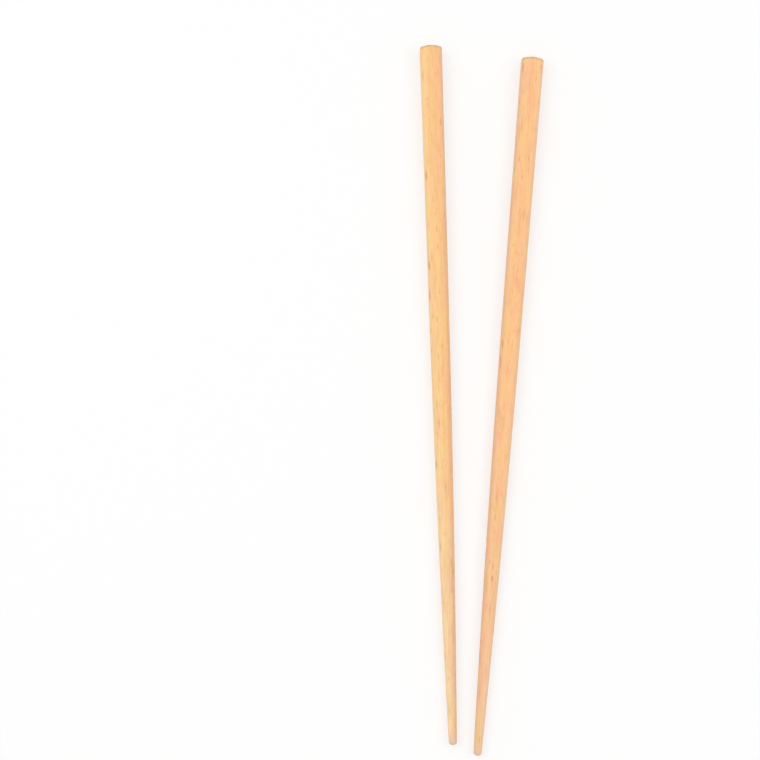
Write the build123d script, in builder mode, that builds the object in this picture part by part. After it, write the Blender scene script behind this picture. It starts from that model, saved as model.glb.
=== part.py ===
from build123d import *

import math
import os

# A pair of plain wooden chopsticks, laid flat with their tips close together and their butts apart.
# Each is one bar of wood: a square handle with well rounded corners, straight and slightly tapered,
# that runs over into a slim shank. The four flats narrow all the way, so the tip is nearly round.
# The butt is sanded to a shallow dome.
# Millimetres, +Z up from the table, tips towards -Y, the pair centred over the origin.

# One stick: its whole length, and the length of its straight handle from the butt
stick_length = 225.0
handle_length = 90.0

# Thickness across the flats at the butt, at the shoulder where the handle ends, and at the tip
butt_width = 7.2
shoulder_width = 6.35
tip_width = 2.5

# Width of each flat at the butt, at the shoulder, and what is left of it at the tip
butt_flat = 4.1
shoulder_flat = 1.8
tip_flat = 0.25

# Straight runs that the curve of the shank is shaped in
shank_runs = 6

# Radius of the dome that the butt is sanded to, and rounding of the edges of the two ends
butt_dome_radius = 9.0
butt_edge_radius = 0.9
tip_edge_radius = 1.05

# Depth sanded off the side that the stick lies on, which gives it a true face to rest on
rest_depth = 0.05

# The lie of the pair: distances between the two axes, and one stick's lead over the other
butt_spacing = 33.4
tip_spacing = 7.6
lead = 3.0

# Thickness that the handle loses along its length, for each millimetre
taper = (butt_width - shoulder_width) / handle_length

# Length of the shank, and the thickness that its tip loses beyond the handle's straight taper
shank_length = stick_length - handle_length
tip_relief = shoulder_width - taper * shank_length - tip_width

# The handle's lowest flat is level, so the axis sinks a little from the butt to the tip
pitch = math.atan(taper / 2)
lean = math.asin((butt_spacing - tip_spacing) / 2 / stick_length)


def shank_width(share):
    """Thickness across the flats at a share of the shank: the handle's taper, less a parabola."""
    return shoulder_width - taper * shank_length * share - tip_relief * share**2


def shank_flat(share):
    """Width of one flat at a share of the shank: a parabola that levels out at the tip."""
    return tip_flat + (shoulder_flat - tip_flat) * (1 - share) ** 2


def butt_plane(side):
    """Plane of one stick's butt end: its normal runs along the axis to the tip, its Y leans up."""
    forward = Vector(-side * math.sin(lean), -math.cos(lean), -math.tan(pitch)).normalized()
    across = Vector(math.cos(lean), -side * math.sin(lean), 0)
    axis_start = (
        side * butt_spacing / 2,
        (stick_length * math.cos(lean) - side * lead) / 2,
        butt_width / 2 * math.cos(pitch) - rest_depth,
    )
    return Plane(origin=axis_start, x_dir=across, z_dir=forward)


# Cross-sections from the butt to the tip: distance from the butt, thickness, width of the flats
sections = [(0.0, butt_width, butt_flat)]
for run in range(shank_runs + 1):
    share = run / shank_runs
    sections.append((handle_length + shank_length * share, shank_width(share), shank_flat(share)))

os.makedirs("parts", exist_ok=True)
for name, side in (("left_chopstick", -1), ("right_chopstick", 1)):
    butt = butt_plane(side)
    axis = Axis(butt.origin, butt.z_dir)

    with BuildPart() as chopstick:
        for station, width, flat in sections:
            with BuildSketch(butt.offset(station)):
                RectangleRounded(width, width, (width - flat) / 2)
        loft(ruled=True)
        split(bisect_by=Plane.XY, keep=Keep.TOP)

        with BuildPart(butt, mode=Mode.SUBTRACT):
            Cylinder(butt_width, butt_dome_radius, align=(Align.CENTER, Align.CENTER, Align.MIN))
            with Locations((0, 0, butt_dome_radius)):
                Sphere(butt_dome_radius, rotation=(90, 0, 0), mode=Mode.SUBTRACT)
        dome = faces().filter_by(GeomType.SPHERE)[0]
        fillet(dome.edges(), butt_edge_radius)

        tip_end = faces().sort_by(axis)[-1]
        fillet(tip_end.edges(), tip_edge_radius)

    chopstick.part.label = name
    export_step(chopstick.part, f"parts/{name}.step")
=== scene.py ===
"""A pair of plain wooden chopsticks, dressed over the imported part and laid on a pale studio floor.

Each stick is one surface on a grid: a rounded square section carried along the stick's axis, with a
domed butt and a rounded tip. Its wood is a solid pattern of growth rings, fibres and ray flecks in
the stick's own millimetres, so the grain runs on round the corners and shows its end on the butt.
"""

import math
from typing import NamedTuple

import bpy
import numpy as np
from bpy.props import FloatProperty, FloatVectorProperty, PointerProperty
from mathutils import Matrix, Vector


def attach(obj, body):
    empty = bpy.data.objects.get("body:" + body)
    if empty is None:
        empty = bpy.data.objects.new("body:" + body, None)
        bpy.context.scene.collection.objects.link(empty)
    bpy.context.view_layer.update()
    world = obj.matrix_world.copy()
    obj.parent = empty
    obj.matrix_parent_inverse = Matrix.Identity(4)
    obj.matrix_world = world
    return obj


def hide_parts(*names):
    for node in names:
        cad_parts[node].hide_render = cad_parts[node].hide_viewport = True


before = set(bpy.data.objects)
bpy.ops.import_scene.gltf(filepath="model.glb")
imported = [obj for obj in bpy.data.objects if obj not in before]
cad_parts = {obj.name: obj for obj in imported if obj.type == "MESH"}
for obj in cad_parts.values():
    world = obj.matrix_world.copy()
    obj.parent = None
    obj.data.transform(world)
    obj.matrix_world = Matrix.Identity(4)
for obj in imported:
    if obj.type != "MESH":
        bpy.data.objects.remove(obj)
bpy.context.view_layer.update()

bl_info = {
    "name": "Wooden Chopsticks",
    "version": (1, 0, 0),
    "blender": (4, 5, 0),
    "location": "View3D > Sidebar > Chopsticks",
    "description": "Makes a pair of plain wooden chopsticks and a pale studio floor to show them on",
    "category": "Add Mesh",
}

# Blender's lengths are in metres, and those of the wood's pattern in millimetres
MM_IN_METRE = 1000

# Flecks that stand out one by one on each stick. Each row is its place across the stick, up from the
# axis and along from the butt, its half width and half length, and its depth of colour.
# Millimetres, and shares from 0 to 1.
GOLDEN_FLECKS = (
    (-2.9, 3.0, 11.0, 0.40, 2.6, 0.6),
    (-2.9, 2.8, 44.5, 0.50, 1.7, 0.9),
    (-2.8, 2.5, 74.0, 0.50, 1.7, 1.0),
    (-2.9, 2.1, 83.5, 0.45, 2.2, 0.9),
    (-1.7, 2.7, 119.0, 0.45, 2.0, 0.4),
    (-1.2, 2.8, 125.0, 0.40, 2.0, 0.5),
    (-2.4, 1.8, 138.0, 0.45, 1.4, 0.9),
    (-2.0, 1.5, 164.0, 0.40, 1.8, 0.7),
    (1.3, 2.1, 169.0, 0.35, 2.0, 0.5),
    (1.2, 2.0, 177.0, 0.35, 2.2, 0.5),
    (-1.6, 1.0, 198.0, 0.30, 1.6, 0.7),
)
PEACH_FLECKS = (
    (-3.0, 3.2, 4.5, 0.50, 1.8, 0.7),
    (1.0, 3.3, 53.5, 0.50, 2.4, 0.5),
    (-2.4, 2.5, 96.0, 0.40, 1.6, 0.8),
    (-2.6, 2.2, 102.5, 0.35, 2.6, 0.7),
    (-0.5, 2.6, 151.5, 0.35, 1.2, 0.6),
    (0.1, 2.3, 170.5, 0.42, 1.1, 1.0),
    (0.3, 2.2, 180.5, 0.35, 3.0, 0.4),
)

# A fleck fades out over its rim, so it reaches this many times its seen half sizes
FLECK_REACH = 1.3


class Cut(NamedTuple):
    """How a stick was cut: the turn of its growth rings, its place in the log, and its own flecks."""

    ring_turn: float
    log: tuple
    flecks: tuple


# Turns in radians and places in millimetres
GOLDEN_CUT = Cut(ring_turn=0.3, log=(0, 0, 0), flecks=GOLDEN_FLECKS)
PEACH_CUT = Cut(ring_turn=2.5, log=(23, 11, 400), flecks=PEACH_FLECKS)

# Growth rings: from one to the next, and how far they move over for each millimetre along the grain
RING_SPACING = 2.3
RING_DRIFT = 0.012

# Ray flecks of two sizes: the cell that each has to itself, in millimetres, and the share of cells that
# hold one. The small ones have a share of the depth of the broad ones.
BROAD_RAYS = {"Width": 1.15, "Length": 5.4, "Presence": 0.55}
SMALL_RAYS = {"Width": 0.6, "Length": 3.2, "Presence": 0.75}
SMALL_RAY_DEPTH = 0.8

# The noise of the fibres goes from 0 to 1 about this middle
NOISE_MIDDLE = 0.5

# How far the grain's sway carries the tint from side to side, partly painted light and shade, in half
# widths of the stick
TINT_SWAY = 1.6

# What the marks of the grain leave of the red, green and blue under them. The last two are on the butt.
GOLD_PATCH = (0.98, 1.04, 0.92, 1)
PINK_PATCH = (1.0, 0.91, 1.0, 1)
LATE_WOOD = (0.99, 0.94, 0.86, 1)
STREAK = (0.93, 0.885, 0.81, 1)
HAIR_LINE = (0.93, 0.9, 0.86, 1)
RING_END = (0.86, 0.81, 0.74, 1)
PORE_END = (0.82, 0.79, 0.75, 1)

# How strongly late wood shows, and how much of their own colour flecks and ends have; the butt's colour
# also holds painted shade on its rim
LATE_WOOD_SHARE = 0.6
RAY_SHARE = 0.7
FLECK_SHARE = 0.6
TIP_SHARE = 0.65
BUTT_SHARE = 0.75

# Surface: the range of roughness over the hairs, how much smoother the rays are, the heights of rings
# and flecks against the hairs', and the strength of the relief and of the gloss
HAIR_ROUGHNESS = 0.16
RAY_POLISH = 0.08
RING_HEIGHT = 0.3
FLECK_HEIGHT = -0.6
RELIEF_STRENGTH = 0.5
GLOSS = 0.35

# Soft lamps: where they hang, and the length of their sides, in metres
LEFT_LAMP_PLACE = (-0.55, 0.1, 1.0)
RIGHT_LAMP_PLACE = (0.55, 0.05, 1.0)
LAMP_SIDE = 0.7

# Sockets of a Mix node that are in use when it mixes colours
MIX_FACTOR, MIX_UNDER, MIX_OVER, MIX_RESULT = 0, 6, 7, 2


def srgb(red, green, blue):
    """Linear colour of three screen values from 0 to 255, by the sRGB formula."""
    screen = np.array((red, green, blue)) / 255
    linear = np.where(screen <= 0.04045, screen / 12.92, ((screen + 0.055) / 1.055) ** 2.4)
    return tuple(float(value) for value in linear)


def length_value(name, description, default):
    """Property for a length in metres."""
    return FloatProperty(
        name=name, description=description, default=default, min=0, unit="LENGTH", precision=5
    )


def share_value(name, description, default):
    """Property for a share from 0 to 1."""
    return FloatProperty(
        name=name, description=description, default=default, min=0, max=1, subtype="FACTOR"
    )


def power_value(name, description, default):
    """Property for a lamp's power in watts."""
    return FloatProperty(name=name, description=description, default=default, min=0, unit="POWER")


def angle_value(name, description, degrees):
    """Property for an angle given in degrees."""
    return FloatProperty(
        name=name, description=description, default=math.radians(degrees), unit="ROTATION"
    )


def colour_value(name, description, default):
    """Property for a colour given in screen values."""
    return FloatVectorProperty(
        name=name, description=description, default=srgb(*default), min=0, max=1, subtype="COLOR"
    )


class ChopstickShape(bpy.types.PropertyGroup):
    """Sizes of one stick, as the part's solids have them"""

    length: length_value("Length", "Whole length of a stick", 0.225)
    handle: length_value("Handle", "Length of the straight handle from the butt", 0.09)
    butt_width: length_value("Butt Width", "Thickness across the flats at the butt", 0.0072)
    shoulder_width: length_value("Shoulder Width", "Thickness where the handle ends", 0.00635)
    tip_width: length_value("Tip Width", "Thickness at the tip", 0.0025)
    butt_flat: length_value("Butt Flat", "Width of a flat at the butt", 0.0041)
    shoulder_flat: length_value("Shoulder Flat", "Width of a flat where the handle ends", 0.0018)
    tip_flat: length_value("Tip Flat", "What is left of a flat at the tip", 0.00025)
    butt_dome: length_value("Butt Dome", "Radius of the dome that the butt is sanded to", 0.009)
    butt_edge: length_value("Butt Edge", "Rounding of the dome's rim", 0.0009)
    tip_edge: length_value("Tip Edge", "Rounding of the tip", 0.00105)


class PairLie(bpy.types.PropertyGroup):
    """How the two sticks lie on the floor"""

    butt_spacing: length_value("Butt Spacing", "Between the two axes at the butts", 0.0334)
    tip_spacing: length_value("Tip Spacing", "Between the two axes at the tips", 0.0076)
    lead: length_value("Lead", "How far the right stick lies ahead of the left one", 0.003)
    rest_depth: length_value("Rest Depth", "Sanded off the side that a stick lies on", 0.00005)


class GoldenTint(bpy.types.PropertyGroup):
    """Colours across the golden stick, at its handle and at its tip, partly its own tone and partly
    painted light and shade
    """

    # Partly painted light and shade: the left side is lighter and the right side darker, at the handle and
    # at the tip
    handle_left: colour_value("Handle Left", "Left side of the handle", (254, 208, 148))
    handle_core: colour_value("Handle Core", "Middle of the handle", (251, 201, 139))
    handle_right: colour_value("Handle Right", "Right side of the handle", (252, 195, 142))
    tip_left: colour_value("Tip Left", "Left side of the tip", (252, 221, 178))
    tip_core: colour_value("Tip Core", "Middle of the tip", (246, 206, 158))
    tip_right: colour_value("Tip Right", "Right side of the tip", (241, 203, 163))
    # Corners: paler on the left as painted light, greyer on the right as painted shade
    left_corner: colour_value("Left Corner", "Painted light and shade at the corners of the left side", (253, 214, 160))
    right_corner: colour_value("Right Corner", "Painted light and shade at the corners of the right side", (243, 203, 158))
    fleck: colour_value("Flecks", "The few dark flecks", (176, 134, 88))
    mottle: share_value("Mottle", "How strongly patches turn golden or pink", 0.7)


class PeachTint(bpy.types.PropertyGroup):
    """Colours across the peach stick, at its handle and at its tip, partly its own tone and partly painted
    light and shade
    """

    # Partly painted light and shade: the left side is darker and greyer and the right side lighter
    handle_left: colour_value("Handle Left", "Left side of the handle", (252, 200, 150))
    handle_core: colour_value("Handle Core", "Middle of the handle", (254, 198, 141))
    handle_right: colour_value("Handle Right", "Right side of the handle", (254, 200, 145))
    tip_left: colour_value("Tip Left", "Left side of the tip", (245, 198, 162))
    tip_core: colour_value("Tip Core", "Middle of the tip", (248, 197, 152))
    tip_right: colour_value("Tip Right", "Right side of the tip", (247, 205, 164))
    # Corners: painted shade, greyer on the left than on the right
    left_corner: colour_value("Left Corner", "Painted light and shade at the corners of the left side", (242, 200, 159))
    right_corner: colour_value("Right Corner", "Painted light and shade at the corners of the right side", (248, 205, 160))
    fleck: colour_value("Flecks", "The few dark flecks", (206, 132, 90))
    mottle: share_value("Mottle", "How strongly patches turn golden or pink", 1.0)


class WoodFinish(bpy.types.PropertyGroup):
    """Grain and surface that both sticks have"""

    ray_colour: colour_value("Rays", "Colour of the many faint ray flecks", (216, 156, 97))
    # The butt's colour is partly its end grain and partly painted shade on its rounded rim
    butt_colour: colour_value("Butt", "End grain of the butt", (222, 184, 142))
    tip_colour: colour_value("Tip", "Bare wood at the tip", (228, 197, 170))
    roughness: share_value("Roughness", "How dull the sanded wood is", 0.5)
    relief: length_value("Relief", "Depth of the grain", 0.00003)


class StageLook(bpy.types.PropertyGroup):
    """Floor, light and camera"""

    floor_colour: colour_value("Floor", "Colour of the floor", (254, 254, 254))
    veil: share_value("Veil", "How far the floor under the sticks is lifted to white", 0.6)
    daylight: share_value("Daylight", "Strength of the even light all round", 0.65)
    left_power: power_value("Left Lamp", "Power of the left lamp", 3.25)
    right_power: power_value("Right Lamp", "Power of the right lamp", 2.45)
    elevation: angle_value("Elevation", "Camera's height above the horizon", 80)
    heading: angle_value("Heading", "Camera's turn about the vertical", 1.7734)
    distance: length_value("Distance", "From the camera to the point that it looks at", 0.65)
    aim: FloatVectorProperty(
        name="Aim",
        description="Point that the camera looks at",
        default=(-0.02983, 0.00317, 0),
        subtype="XYZ",
    )
    lens: FloatProperty(
        name="Lens", description="Focal length in millimetres", default=96.4, unit="CAMERA"
    )


class ChopstickSettings(bpy.types.PropertyGroup):
    """All that can be changed on the pair and on its stage"""

    shape: PointerProperty(type=ChopstickShape)
    lie: PointerProperty(type=PairLie)
    golden: PointerProperty(type=GoldenTint)
    peach: PointerProperty(type=PeachTint)
    finish: PointerProperty(type=WoodFinish)
    stage: PointerProperty(type=StageLook)


def handle_taper(shape):
    """Thickness that the handle loses along its length, for each metre."""
    return (shape.butt_width - shape.shoulder_width) / shape.handle


def stick_axes(shape, lie, side):
    """Where a stick lies: the middle of its butt, and unit vectors across, up and along to the tip.

    The axes close in from the butt spacing to the tip spacing over the length, and sink by half the
    handle's taper, so that the handle's lowest flat is level on the floor.
    """
    pitch = math.atan(handle_taper(shape) / 2)
    lean = math.asin((lie.butt_spacing - lie.tip_spacing) / 2 / shape.length)
    along = Vector((-side * math.sin(lean), -math.cos(lean), -math.tan(pitch))).normalized()
    across = Vector((math.cos(lean), -side * math.sin(lean), 0))
    butt = Vector((
        side * lie.butt_spacing / 2,
        (shape.length * math.cos(lean) - side * lie.lead) / 2,
        shape.butt_width / 2 * math.cos(pitch) - lie.rest_depth,
    ))
    return butt, across, along.cross(across), along


def ring_shape(corner_steps=12, flat_steps=6):
    """Round a unit section: centres of the rounded corners, and unit directions out from them.

    Each quarter turns its direction by a right angle about one corner, and then slides its centre
    along a flat to the next corner. Half a flat times a centre plus a radius times a direction is a
    point of the section.
    """
    turn = np.append(np.linspace(0, 1, corner_steps + 1), np.ones(flat_steps - 1))
    slide = np.append(np.zeros(corner_steps + 1), np.arange(1, flat_steps) / flat_steps)
    angle = ((np.arange(4)[:, None] + turn) * math.pi / 2).ravel()
    corner = np.array(((1, 1), (-1, 1), (-1, -1), (1, -1)))[:, None]
    following = np.roll(corner, -1, axis=0)
    centre = corner * (1 - slide)[:, None] + following * slide[:, None]
    return centre.reshape(-1, 2), np.stack((np.cos(angle), np.sin(angle)), axis=1)


def section(shape, station):
    """Half a flat and the corner radius at each distance from the butt.

    The handle's thickness and flats run straight from butt to shoulder. The shank keeps the handle's
    taper less a parabola, and its flats fade in a parabola that levels out at the tip.
    """
    shank = shape.length - shape.handle
    relief = shape.shoulder_width - handle_taper(shape) * shank - shape.tip_width
    on_handle = np.clip(station / shape.handle, 0, 1)
    on_shank = np.clip((station - shape.handle) / shank, 0, 1)
    width = shape.butt_width - handle_taper(shape) * station - relief * on_shank**2
    handle_flat = shape.butt_flat + (shape.shoulder_flat - shape.butt_flat) * on_handle
    shank_flat = shape.tip_flat + (shape.shoulder_flat - shape.tip_flat) * (1 - on_shank) ** 2
    flat = np.where(station < shape.handle, handle_flat, shank_flat)
    return (flat / 2)[..., None], ((width - flat) / 2)[..., None]


def raised(plan, station):
    """Points in space from points of a section and their distances from the butt."""
    depth = np.broadcast_to(station[..., None], (*plan.shape[:-1], 1))
    return np.concatenate((plan, depth), axis=-1)


def butt_rows(shape, centre, outward, dome_rows=6, rim_rows=9):
    """Rows of the butt, from the middle of its dome out to the side, and where the side begins.

    A ball of the edge's radius rolls round inside the rim, touching the side and the dome. The rim is
    the ball's arc from the one touch to the other, and the dome is that ring drawn in to the middle
    over a sphere.
    """
    half_flat, radius = section(shape, np.full(len(centre), shape.butt_edge))
    ball = half_flat * centre + (radius - shape.butt_edge) * outward
    inner = shape.butt_dome - shape.butt_edge
    start = shape.butt_dome - np.sqrt(inner**2 - np.sum(ball**2, axis=-1))
    to_side = raised(outward, np.zeros(len(outward)))
    to_dome = raised(ball, start - shape.butt_dome) / inner
    swing = np.linspace(0, 1, rim_rows)[:, None, None]
    direction = to_dome * (1 - swing) + to_side * swing
    direction = direction / np.linalg.norm(direction, axis=-1, keepdims=True)
    rim = raised(ball, start) + shape.butt_edge * direction

    share = np.linspace(0, 1, dome_rows + 1)[1:-1, None, None]
    plan = rim[0, :, :2] * share
    dome = raised(plan, shape.butt_dome - np.sqrt(shape.butt_dome**2 - np.sum(plan**2, axis=-1)))
    return np.concatenate((dome, rim)), start


def side_rows(shape, centre, outward, start, rows=320):
    """Rows of the long side: the section at even shares of the way from the butt's rim to the tip's."""
    share = np.linspace(0, 1, rows)[1:-1, None]
    station = start * (1 - share) + (shape.length - shape.tip_edge) * share
    half_flat, radius = section(shape, station)
    return raised(half_flat * centre + radius * outward, station)


def tip_rows(shape, centre, outward, edge_rows=10, face_rows=3):
    """Rows of the tip: its edge is a quarter circle that pulls the corner radius in, then a small face."""
    swing = np.linspace(0, math.pi / 2, edge_rows)
    station = shape.length - shape.tip_edge * (1 - np.sin(swing))
    half_flat, radius = section(shape, np.full(edge_rows, shape.length - shape.tip_edge))
    pulled = radius - shape.tip_edge * (1 - np.cos(swing))[:, None]
    edge = half_flat[..., None] * centre + pulled[..., None] * outward
    share = np.linspace(1, 0, face_rows + 1)[1:-1, None, None]
    plan = np.concatenate((edge, edge[-1] * share))
    return raised(plan, np.append(station, np.full(face_rows - 1, shape.length))[:, None])


def stick_mesh(name, shape, axes):
    """Mesh of one stick: rows of its butt, its side and its tip, closed by a pole at each end.

    A point is the butt's middle plus its own three coordinates across, up and along. What would come
    below the floor is sanded off level with it. The attributes across and rise give its place in the
    section, each from -1 on one side to 1 on the other.
    """
    centre, outward = ring_shape()
    butt_end, start = butt_rows(shape, centre, outward)
    side = side_rows(shape, centre, outward, start)
    own = np.concatenate((butt_end, side, tip_rows(shape, centre, outward)))
    rows, columns = own.shape[:2]
    own = np.concatenate((own.reshape(-1, 3), ((0, 0, 0), (0, 0, shape.length))))

    butt, *turn = (np.array(axis) for axis in axes)
    vertices = butt + own @ np.array(turn)
    vertices[:, 2] = np.maximum(vertices[:, 2], 0)
    half_flat, radius = section(shape, own[:, 2])
    share = own[:, :2] / (half_flat + radius)

    index = np.arange(rows * columns).reshape(rows, columns)
    beside = np.roll(index, -1, axis=1)
    quads = np.stack((index[:-1], beside[:-1], beside[1:], index[1:]), axis=-1).reshape(-1, 4)
    pole = np.full(columns, rows * columns)
    butt_fan = np.stack((beside[0], index[0], pole), axis=-1)
    tip_fan = np.stack((index[-1], beside[-1], pole + 1), axis=-1)

    mesh = bpy.data.meshes.new(name)
    mesh.from_pydata(vertices.tolist(), [], quads.tolist() + butt_fan.tolist() + tip_fan.tolist())
    mesh.attributes.new("across", "FLOAT", "POINT").data.foreach_set("value", share[:, 0])
    mesh.attributes.new("rise", "FLOAT", "POINT").data.foreach_set("value", share[:, 1])
    mesh.shade_smooth()
    return mesh


def add_node(tree, kind, inputs, **options):
    """One node of a tree, with its options set and each input given a value or a link."""
    node = tree.nodes.new(kind)
    for option, value in options.items():
        setattr(node, option, value)
    for socket, value in inputs.items():
        if isinstance(value, bpy.types.NodeSocket):
            tree.links.new(value, node.inputs[socket])
        else:
            node.inputs[socket].default_value = value
    return node


def place_group(tree, group, inputs):
    """One use of a shared group in a material, by its outputs."""
    return add_node(tree, "ShaderNodeGroup", inputs, node_tree=group).outputs


def calc(tree, operation, *values):
    """Result of one step of arithmetic."""
    return add_node(tree, "ShaderNodeMath", dict(enumerate(values)), operation=operation).outputs[0]


def vector_calc(tree, operation, *values):
    """Result of one step of arithmetic on vectors."""
    inputs = dict(enumerate(values))
    return add_node(tree, "ShaderNodeVectorMath", inputs, operation=operation).outputs[0]


def vector_measure(tree, operation, *values):
    """Length of a vector, or the distance between two."""
    inputs = dict(enumerate(values))
    return add_node(tree, "ShaderNodeVectorMath", inputs, operation=operation).outputs["Value"]


def fade(tree, value, start, end):
    """Smooth step from 0 where a value is at its start to 1 where it is at its end."""
    inputs = {"Value": value, "From Min": start, "From Max": end}
    return add_node(tree, "ShaderNodeMapRange", inputs, interpolation_type="SMOOTHSTEP").outputs[0]


def blend(tree, factor, under, over, blend_type="MIX"):
    """Colour that goes from one to another by a factor."""
    inputs = {MIX_FACTOR: factor, MIX_UNDER: under, MIX_OVER: over}
    node = add_node(tree, "ShaderNodeMix", inputs, data_type="RGBA", blend_type=blend_type)
    return node.outputs[MIX_RESULT]


def attribute(tree, name):
    """One of the mesh's own attributes."""
    return add_node(tree, "ShaderNodeAttribute", {}, attribute_name=name).outputs["Fac"]


def grain_noise(tree, point, across, along, detail=2.0):
    """Noise from 0 to 1 in lumps of a width across the grain and a length along it, in millimetres."""
    squeezed = vector_calc(tree, "MULTIPLY", point, (1 / across, 1 / across, 1 / along))
    inputs = {"Vector": squeezed, "Scale": 1.0, "Detail": detail, "Roughness": 0.5}
    return add_node(tree, "ShaderNodeTexNoise", inputs).outputs[0]


def new_group(name, inputs, outputs):
    """Empty shader node group with named sockets, with its input sockets and its output node."""
    tree = bpy.data.node_groups.new(name, "ShaderNodeTree")
    for socket, kind in inputs:
        tree.interface.new_socket(name=socket, in_out="INPUT", socket_type="NodeSocket" + kind)
    for socket, kind in outputs:
        tree.interface.new_socket(name=socket, in_out="OUTPUT", socket_type="NodeSocket" + kind)
    given = tree.nodes.new("NodeGroupInput").outputs
    return tree, given, tree.nodes.new("NodeGroupOutput")


def send(tree, output, results):
    """Links the results of a group to its output node."""
    for socket, value in results.items():
        tree.links.new(value, output.inputs[socket])


def growth_ring_group(sway=3.0, sharpness=3.0):
    """Growth rings: level bands across the grain, turned about the axis, that drift along the stick.

    Ring is high in the narrow late wood of each year: a sine wave from 0 to 1, raised to the sharpness.
    Wander is the slow sway of the grain. Times the sway in millimetres, it carries the rings over.
    """
    sockets = (("Point", "Vector"), ("Turn", "Float"), ("Spacing", "Float"), ("Drift", "Float"))
    tree, given, output = new_group("Growth rings", sockets, (("Ring", "Float"), ("Wander", "Float")))
    inputs = {"Vector": given["Point"], "Angle": given["Turn"]}
    turned = add_node(tree, "ShaderNodeVectorRotate", inputs, rotation_type="Z_AXIS").outputs[0]
    place = add_node(tree, "ShaderNodeSeparateXYZ", {0: turned}).outputs
    slow_noise = grain_noise(tree, given["Point"], across=5.0, along=60.0)
    wander = calc(tree, "SUBTRACT", slow_noise, NOISE_MIDDLE)
    level = calc(tree, "MULTIPLY_ADD", wander, sway, place["X"])
    drifted = calc(tree, "MULTIPLY_ADD", place["Z"], given["Drift"], level)
    phase = calc(tree, "MULTIPLY", calc(tree, "DIVIDE", drifted, given["Spacing"]), 2 * math.pi)
    wave = calc(tree, "MULTIPLY_ADD", calc(tree, "SINE", phase), 0.5, 0.5)
    send(tree, output, {"Ring": calc(tree, "POWER", wave, sharpness), "Wander": wander})
    return tree


def fibre_group():
    """Fibres: soft streaks, broad patches and fine hair lines, all drawn out along the grain."""
    outputs = (("Streak", "Float"), ("Patch", "Float"), ("Hair", "Float"))
    tree, given, output = new_group("Fibres", (("Point", "Vector"),), outputs)
    results = {
        "Streak": grain_noise(tree, given["Point"], across=0.7, along=7.5, detail=3.0),
        "Patch": grain_noise(tree, given["Point"], across=1.9, along=6.5),
        "Hair": grain_noise(tree, given["Point"], across=0.2, along=4.0),
    }
    send(tree, output, results)
    return tree


def ray_fleck_group(least_size=0.16, size_range=0.2, core=0.3, least_depth=0.3):
    """Ray flecks: spindles scattered through the wood, one in each cell, some of them missing.

    A cell is as wide and as long as told. Its random colour says whether its fleck is there, how
    large it is and how dark. Sizes are shares of the cell, and the core, at full depth, is a share of
    the fleck.
    """
    sockets = (("Point", "Vector"), ("Width", "Float"), ("Length", "Float"), ("Presence", "Float"))
    tree, given, output = new_group("Ray flecks", sockets, (("Fleck", "Float"),))
    sides = {0: given["Width"], 1: given["Width"], 2: given["Length"]}
    cell = add_node(tree, "ShaderNodeCombineXYZ", sides).outputs[0]
    squeezed = vector_calc(tree, "DIVIDE", given["Point"], cell)
    cells = add_node(tree, "ShaderNodeTexVoronoi", {"Vector": squeezed, "Scale": 1.0}).outputs
    chance = add_node(tree, "ShaderNodeSeparateColor", {0: cells["Color"]}).outputs
    there = calc(tree, "LESS_THAN", chance["Red"], given["Presence"])
    size = calc(tree, "MULTIPLY_ADD", chance["Green"], size_range, least_size)
    spindle = fade(tree, cells["Distance"], start=size, end=calc(tree, "MULTIPLY", size, core))
    depth = calc(tree, "MULTIPLY_ADD", chance["Blue"], 1 - least_depth, least_depth)
    send(tree, output, {"Fleck": calc(tree, "MULTIPLY", calc(tree, "MULTIPLY", spindle, there), depth)})
    return tree


def single_fleck_group():
    """One fleck at a chosen place: a spindle, 1 in its middle and 0 outside it.

    In half sizes, the distance from its middle line plus the square of the way along is 1 at its rim,
    so both its ends run out to points.
    """
    sockets = (("Point", "Vector"), ("Place", "Vector"), ("Half Size", "Vector"), ("Depth", "Float"))
    tree, given, output = new_group("Single fleck", sockets, (("Fleck", "Float"),))
    away = vector_calc(tree, "SUBTRACT", given["Point"], given["Place"])
    away = vector_calc(tree, "DIVIDE", away, given["Half Size"])
    aside = vector_measure(tree, "LENGTH", vector_calc(tree, "MULTIPLY", away, (1, 1, 0)))
    along = add_node(tree, "ShaderNodeSeparateXYZ", {0: away}).outputs["Z"]
    spindle = fade(tree, calc(tree, "MULTIPLY_ADD", along, along, aside), start=1.0, end=0.2)
    send(tree, output, {"Fleck": calc(tree, "MULTIPLY", spindle, given["Depth"])})
    return tree


def stick_end_group():
    """Ends of a stick: masks of its butt and of its tip, and a slow fade over the shank to the tip.

    The butt's mask follows its dome: it fades with the depth below a sphere of the dome's radius. The
    other two fade with what is left of the length. All in millimetres.
    """
    sockets = (("Point", "Vector"), ("Length", "Float"), ("Dome", "Float"))
    outputs = (("Butt", "Float"), ("Tip", "Float"), ("Shank", "Float"))
    tree, given, output = new_group("Stick ends", sockets, outputs)
    along = add_node(tree, "ShaderNodeSeparateXYZ", {0: given["Point"]}).outputs["Z"]
    middle = add_node(tree, "ShaderNodeCombineXYZ", {2: given["Dome"]}).outputs[0]
    reach = vector_measure(tree, "DISTANCE", given["Point"], middle)
    below = calc(tree, "SUBTRACT", given["Dome"], reach)
    beyond = calc(tree, "MAXIMUM", below, calc(tree, "SUBTRACT", along, given["Dome"]))
    left = calc(tree, "SUBTRACT", given["Length"], along)
    results = {
        "Butt": fade(tree, beyond, start=0.9, end=0.1),
        "Tip": fade(tree, left, start=5.0, end=0.3),
        "Shank": fade(tree, left, start=120.0, end=5.0),
    }
    send(tree, output, results)
    return tree


def wood_groups():
    """The shared effects of the wood, by name."""
    return {
        "rings": growth_ring_group(),
        "fibres": fibre_group(),
        "rays": ray_fleck_group(),
        "fleck": single_fleck_group(),
        "ends": stick_end_group(),
    }


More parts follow.
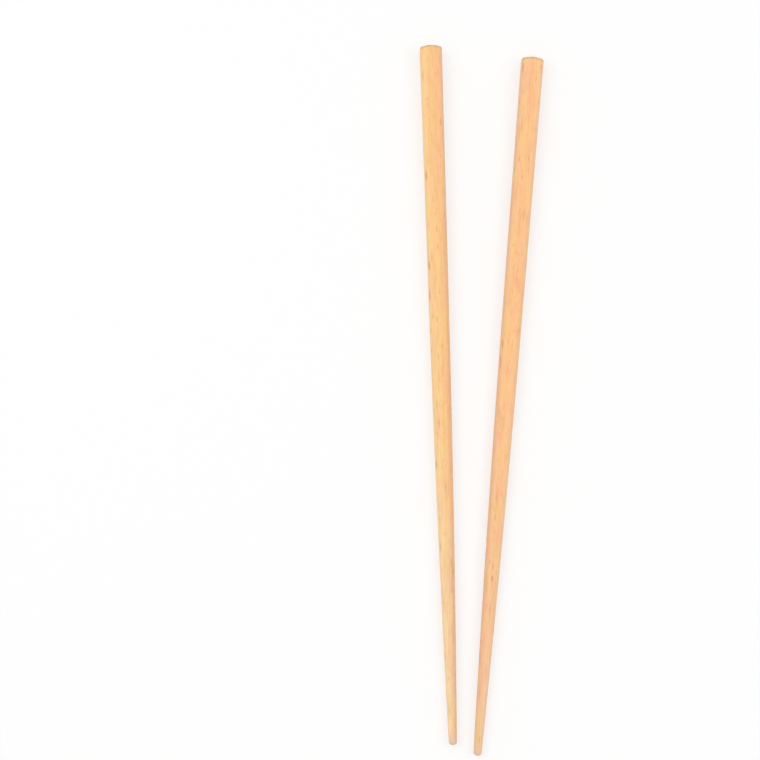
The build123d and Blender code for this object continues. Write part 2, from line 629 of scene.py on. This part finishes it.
def stick_point(tree, axes):
    """Place in the stick's own millimetres: across from the axis, up from it, along from the butt."""
    butt, across, up, along = axes
    turn = Matrix((across, up, along))
    inputs = {
        "Vector": tree.nodes.new("ShaderNodeTexCoord").outputs["Object"],
        "Location": -(turn @ butt) * MM_IN_METRE,
        "Rotation": turn.to_euler(),
        "Scale": (MM_IN_METRE, MM_IN_METRE, MM_IN_METRE),
    }
    return add_node(tree, "ShaderNodeMapping", inputs, vector_type="POINT").outputs[0]


def fleck_mask(tree, group, point, flecks):
    """The dark flecks of one stick, each at its chosen place."""
    mask = 0.0
    for across, up, along, half_width, half_length, depth in flecks:
        inputs = {
            "Point": point,
            "Place": (across, up, along),
            "Half Size": [half * FLECK_REACH for half in (half_width, half_width, half_length)],
            "Depth": depth,
        }
        mask = calc(tree, "MAXIMUM", mask, place_group(tree, group, inputs)["Fleck"])
    return mask


def wood_marks(tree, cut, axes, groups, shape):
    """Masks of all that the grain shows on one stick and of the stick's ends, by name."""
    point = stick_point(tree, axes)
    grain = vector_calc(tree, "ADD", point, cut.log)
    inputs = {"Point": grain, "Turn": cut.ring_turn, "Spacing": RING_SPACING, "Drift": RING_DRIFT}
    rings = place_group(tree, groups["rings"], inputs)
    fibres = place_group(tree, groups["fibres"], {"Point": grain})
    length, dome = shape.length * MM_IN_METRE, shape.butt_dome * MM_IN_METRE
    ends = place_group(tree, groups["ends"], {"Point": point, "Length": length, "Dome": dome})
    broad = place_group(tree, groups["rays"], {"Point": grain, **BROAD_RAYS})["Fleck"]
    small = place_group(tree, groups["rays"], {"Point": grain, **SMALL_RAYS})["Fleck"]
    return {
        **dict(rings.items()),
        **dict(fibres.items()),
        **dict(ends.items()),
        "Hair Line": fade(tree, fibres["Hair"], start=0.45, end=0.75),
        "Rays": calc(tree, "MAXIMUM", broad, calc(tree, "MULTIPLY", small, SMALL_RAY_DEPTH)),
        "Fleck": fleck_mask(tree, groups["fleck"], point, cut.flecks),
    }


def tint_across(tree, share, left, core, right):
    """Colour over the stick from its left side by its core to its right side."""
    colour = blend(tree, fade(tree, share, start=-0.75, end=0.05), (*left, 1), (*core, 1))
    return blend(tree, fade(tree, share, start=0.0, end=0.75), colour, (*right, 1))


def tint_with_painted_light(tree, marks, tint, across):
    """The stick's colour with painted light and shade, from side to side and from handle to tip, swaying
    with the grain.
    """
    # Painted light and shade: one side of each stick is lighter and the other darker
    share = calc(tree, "MULTIPLY_ADD", marks["Wander"], TINT_SWAY, across)
    share = calc(tree, "ADD", calc(tree, "SUBTRACT", marks["Streak"], NOISE_MIDDLE), share)
    handle = tint_across(tree, share, tint.handle_left, tint.handle_core, tint.handle_right)
    tip = tint_across(tree, share, tint.tip_left, tint.tip_core, tint.tip_right)
    return blend(tree, marks["Shank"], handle, tip)


def corners_with_painted_light(tree, colour, tint, across):
    """The colour with the corners of each side in that side's paler tint: painted light and shade, not
    wear.
    """
    corner = fade(tree, calc(tree, "ABSOLUTE", attribute(tree, "rise")), start=0.1, end=0.6)
    # Painted light and shade: each side's corners take that side's corner colour
    for side, paler in ((-1, tint.left_corner), (1, tint.right_corner)):
        edge = fade(tree, across, start=0.55 * side, end=1.05 * side)
        colour = blend(tree, calc(tree, "MULTIPLY", edge, corner), colour, (*paler, 1))
    return colour


def grained(tree, colour, marks, mottle):
    """The colour turned golden or pink by patches, and deepened by late wood, streaks and hair lines."""
    golden = fade(tree, marks["Patch"], start=NOISE_MIDDLE, end=0.7)
    pink = fade(tree, marks["Patch"], start=NOISE_MIDDLE, end=0.3)
    layers = (
        (calc(tree, "MULTIPLY", golden, mottle), GOLD_PATCH),
        (calc(tree, "MULTIPLY", pink, mottle), PINK_PATCH),
        (calc(tree, "MULTIPLY", marks["Ring"], LATE_WOOD_SHARE), LATE_WOOD),
        (fade(tree, marks["Streak"], start=NOISE_MIDDLE, end=0.75), STREAK),
        (marks["Hair Line"], HAIR_LINE),
    )
    for mask, shade in layers:
        colour = blend(tree, mask, colour, shade, "MULTIPLY")
    return colour


def flecked(tree, colour, marks, tint, finish):
    """The colour with flecks and ends in colours of their own, the butt's partly painted shade on its rim,
    and rings and pores end on at the butt.
    """
    layers = (
        (marks["Rays"], RAY_SHARE, finish.ray_colour),
        (marks["Fleck"], FLECK_SHARE, tint.fleck),
        (marks["Tip"], TIP_SHARE, finish.tip_colour),
        # The butt's colour is partly painted shade on its rim
        (marks["Butt"], BUTT_SHARE, finish.butt_colour),
    )
    for mask, share, over in layers:
        colour = blend(tree, calc(tree, "MULTIPLY", mask, share), colour, (*over, 1))
    for mask, shade in ((marks["Ring"], RING_END), (marks["Hair Line"], PORE_END)):
        colour = blend(tree, calc(tree, "MULTIPLY", marks["Butt"], mask), colour, shade, "MULTIPLY")
    return colour


def wood_roughness(tree, marks, roughness):
    """Roughness about that of the finish: it goes up and down with the hairs, and rays are smoother."""
    least = roughness - HAIR_ROUGHNESS / 2
    hairs = calc(tree, "MULTIPLY_ADD", marks["Hair"], HAIR_ROUGHNESS, least)
    return calc(tree, "MULTIPLY_ADD", marks["Rays"], -RAY_POLISH, hairs)


def wood_relief(tree, marks, depth):
    """Normals of the grain's relief: hairs and rings stand out, rays and flecks are sunk."""
    height = calc(tree, "MULTIPLY_ADD", marks["Ring"], RING_HEIGHT, marks["Hair"])
    sunk = calc(tree, "MAXIMUM", marks["Rays"], marks["Fleck"])
    height = calc(tree, "MULTIPLY_ADD", sunk, FLECK_HEIGHT, height)
    inputs = {"Height": height, "Distance": depth, "Strength": RELIEF_STRENGTH}
    return add_node(tree, "ShaderNodeBump", inputs).outputs[0]


def wood_material(wood, cut, axes, groups, settings):
    """Sanded pale wood: tinted from side to side, partly with painted light and shade, mottled and flecked
    along the grain.
    """
    tint, finish = getattr(settings, wood), settings.finish
    material = bpy.data.materials.new(wood.capitalize() + " wood")
    material.use_nodes = True
    tree = material.node_tree
    marks = wood_marks(tree, cut, axes, groups, settings.shape)
    across = attribute(tree, "across")
    colour = tint_with_painted_light(tree, marks, tint, across)
    colour = corners_with_painted_light(tree, colour, tint, across)
    colour = grained(tree, colour, marks, tint.mottle)
    colour = flecked(tree, colour, marks, tint, finish)

    surface = tree.nodes["Principled BSDF"].inputs
    tree.links.new(colour, surface["Base Color"])
    tree.links.new(wood_roughness(tree, marks, finish.roughness), surface["Roughness"])
    tree.links.new(wood_relief(tree, marks, finish.relief), surface["Normal"])
    surface["Specular IOR Level"].default_value = GLOSS
    return material


class CHOPSTICKS_OT_add_sticks(bpy.types.Operator):
    """Make the two sticks, each in its own wood"""

    bl_idname = "chopsticks.add_sticks"
    bl_label = "Add Chopsticks"

    def execute(self, context):
        settings = context.scene.chopsticks
        groups = wood_groups()
        sticks = (("left", -1, "golden", GOLDEN_CUT), ("right", 1, "peach", PEACH_CUT))
        for word, side, wood, cut in sticks:
            axes = stick_axes(settings.shape, settings.lie, side)
            mesh = stick_mesh(word + "_stick", settings.shape, axes)
            mesh.materials.append(wood_material(wood, cut, axes, groups, settings))
            stick = bpy.data.objects.new(word + "_stick", mesh)
            context.scene.collection.objects.link(stick)
            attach(stick, "root")
            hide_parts(word + "_chopstick")
        return {"FINISHED"}


def background_mask(tree):
    """1 for what is seen straight, in a gloss or through glass, and 0 for light that falls on things."""
    path = tree.nodes.new("ShaderNodeLightPath").outputs
    seen = calc(tree, "MAXIMUM", path["Is Camera Ray"], path["Is Glossy Ray"])
    return calc(tree, "MAXIMUM", seen, path["Is Transmission Ray"])


def floor_mesh(half_side=4.0, steps=8, drop=0.00005):
    """Level square of floor on a grid, a hair below the sticks."""
    place = np.linspace(-half_side, half_side, steps + 1)
    across, along = np.meshgrid(place, place)
    vertices = np.stack((across, along, np.full_like(across, -drop)), axis=-1).reshape(-1, 3)
    index = np.arange(len(vertices)).reshape(across.shape)
    quads = np.stack((index[:-1, :-1], index[:-1, 1:], index[1:, 1:], index[1:, :-1]), axis=-1)
    mesh = bpy.data.meshes.new("floor")
    mesh.from_pydata(vertices.tolist(), [], quads.reshape(-1, 4).tolist())
    return mesh


def floor_material(colour, veil, near=0.2, far=0.6):
    """Matt pale floor, lifted towards white for the camera so that only a soft shade is left.

    The lift is a share as far as the near distance from the middle, and grows to all of it at the far
    one, in metres.
    """
    material = bpy.data.materials.new("Studio floor")
    material.use_nodes = True
    tree = material.node_tree
    shader = tree.nodes["Principled BSDF"]
    shader.inputs["Base Color"].default_value = (*colour, 1)
    shader.inputs["Roughness"].default_value = 1.0
    shader.inputs["Specular IOR Level"].default_value = 0.0
    white = add_node(tree, "ShaderNodeEmission", {"Color": (1, 1, 1, 1), "Strength": 1.0})
    away = vector_measure(tree, "LENGTH", tree.nodes.new("ShaderNodeTexCoord").outputs["Object"])
    inputs = {"Value": away, "From Min": near, "From Max": far, "To Min": veil}
    share = add_node(tree, "ShaderNodeMapRange", inputs).outputs[0]
    lift = calc(tree, "MULTIPLY", background_mask(tree), share)
    inputs = {0: lift, 1: shader.outputs[0], 2: white.outputs[0]}
    mixed = add_node(tree, "ShaderNodeMixShader", inputs)
    tree.links.new(mixed.outputs[0], tree.nodes["Material Output"].inputs["Surface"])
    return material


def even_light(daylight):
    """World that lights things evenly by a share of full white, and is full white where it is seen."""
    world = bpy.data.worlds.new("Even light")
    world.use_nodes = True
    tree = world.node_tree
    light = tree.nodes["Background"].inputs
    light["Color"].default_value = (1, 1, 1, 1)
    strength = calc(tree, "MULTIPLY_ADD", background_mask(tree), 1 - daylight, daylight)
    tree.links.new(strength, light["Strength"])
    return world


def new_lamp(name, power, place):
    """Square soft lamp that faces the middle of the floor."""
    light = bpy.data.lights.new(name, "AREA")
    light.energy = power
    light.size = LAMP_SIDE
    lamp = bpy.data.objects.new(name, light)
    lamp.location = place
    lamp.rotation_euler = (-Vector(place)).to_track_quat("-Z", "Y").to_euler()
    lamp.visible_camera = False
    return lamp


def new_camera(look):
    """Camera at a distance from its aim, turned by its heading and looking down by its elevation."""
    level = Vector((-math.sin(look.heading), math.cos(look.heading), 0))
    forward = level * math.cos(look.elevation) - Vector((0, 0, math.sin(look.elevation)))
    lens = bpy.data.cameras.new("Camera")
    lens.lens = look.lens
    lens.sensor_width = 36
    lens.clip_start = 0.01
    camera = bpy.data.objects.new("Camera", lens)
    camera.location = Vector(look.aim) - forward * look.distance
    camera.rotation_euler = forward.to_track_quat("-Z", "Y").to_euler()
    return camera


class CHOPSTICKS_OT_set_stage(bpy.types.Operator):
    """Lay the floor, set the lamps and the even light, and place the camera"""

    bl_idname = "chopsticks.set_stage"
    bl_label = "Set Stage"

    def execute(self, context):
        scene = context.scene
        look = scene.chopsticks.stage
        scene.view_settings.view_transform = "Standard"

        mesh = floor_mesh()
        mesh.materials.append(floor_material(look.floor_colour, look.veil))
        floor = bpy.data.objects.new("floor", mesh)
        scene.collection.objects.link(floor)

        scene.world = even_light(look.daylight)
        scene.collection.objects.link(new_lamp("Left lamp", look.left_power, LEFT_LAMP_PLACE))
        scene.collection.objects.link(new_lamp("Right lamp", look.right_power, RIGHT_LAMP_PLACE))
        camera = new_camera(look)
        scene.collection.objects.link(camera)
        scene.camera = camera
        return {"FINISHED"}


class CHOPSTICKS_PT_sidebar(bpy.types.Panel):
    """Panel with the sizes, the colours and the buttons"""

    bl_label = "Chopsticks"
    bl_space_type = "VIEW_3D"
    bl_region_type = "UI"
    bl_category = "Chopsticks"

    def draw(self, context):
        settings = context.scene.chopsticks
        for title in ChopstickSettings.__annotations__:
            box = self.layout.box()
            box.label(text=title.capitalize())
            group = getattr(settings, title)
            for name in group.__annotations__:
                box.prop(group, name)
        self.layout.operator(CHOPSTICKS_OT_add_sticks.bl_idname)
        self.layout.operator(CHOPSTICKS_OT_set_stage.bl_idname)


CLASSES = (
    ChopstickShape,
    PairLie,
    GoldenTint,
    PeachTint,
    WoodFinish,
    StageLook,
    ChopstickSettings,
    CHOPSTICKS_OT_add_sticks,
    CHOPSTICKS_OT_set_stage,
    CHOPSTICKS_PT_sidebar,
)


def register():
    """Registers the classes and hangs the settings on the scene."""
    for cls in CLASSES:
        bpy.utils.register_class(cls)
    bpy.types.Scene.chopsticks = PointerProperty(type=ChopstickSettings)


def unregister():
    """Takes the settings off the scene and the classes out again."""
    del bpy.types.Scene.chopsticks
    for cls in reversed(CLASSES):
        bpy.utils.unregister_class(cls)


def main():
    """Makes the pair and its stage."""
    register()
    bpy.ops.chopsticks.add_sticks()
    bpy.ops.chopsticks.set_stage()


if __name__ == "__main__":
    main()
